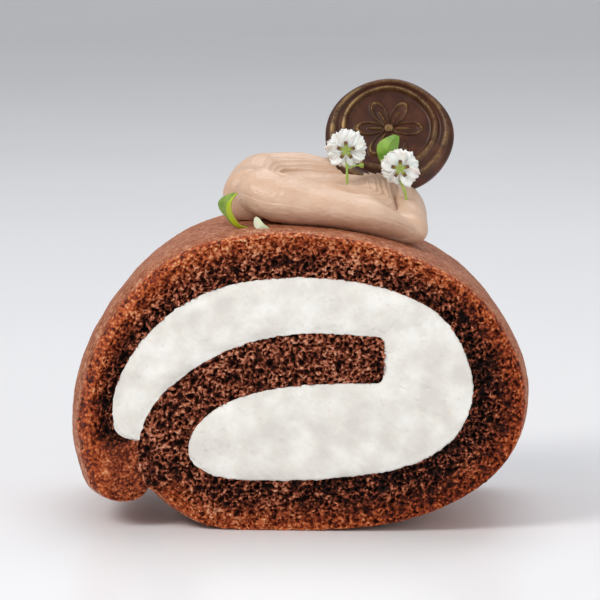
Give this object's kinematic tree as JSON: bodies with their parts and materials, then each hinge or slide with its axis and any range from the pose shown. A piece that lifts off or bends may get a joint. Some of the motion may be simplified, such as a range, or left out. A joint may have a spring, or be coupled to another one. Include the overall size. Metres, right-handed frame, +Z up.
{
  "type": "swiss roll cake",
  "caption": "Thick slice of chocolate swiss roll with a spiral of white cream, topped with a spooned coffee cream swirl, a chocolate seal, small white blossoms and leaves.",
  "frame": {"origin": "on the surface that the roll rests on, under the middle of the whole cake", "axes": "+Z up, +Y along the roll away from the cut face that shows the spiral, +X to the right when that face is looked at"},
  "size_m": [0.0936, 0.05, 0.0884],
  "materials": {
    "chocolate_sponge": "open brown crumb with a finer baked skin outside, matte",
    "white_cream": "whipped cream with fine bubbles, soft sheen",
    "coffee_cream": "smooth whipped coffee cream, damp sheen on its ridges",
    "dark_chocolate": "moulded dark chocolate, dull gloss, dusted with dull gold on its raised parts",
    "white_petals": "thin white petals, matte, with a small green cup and stem",
    "green_leaf": "fresh leaf, waxy sheen",
    "pale_leaf": "pale green-white blade, matte"
  },
  "bodies": {
    "root": {"sponge": "chocolate_sponge", "cream_filling": "white_cream", "cream_swirl": "coffee_cream", "chocolate_seal": "dark_chocolate", "blossom_front": "white_petals", "blossom_back": "white_petals", "leaf_curl": "green_leaf", "leaf_scrap": "pale_leaf", "leaf_back": "green_leaf"}
  },
  "joints": []
}
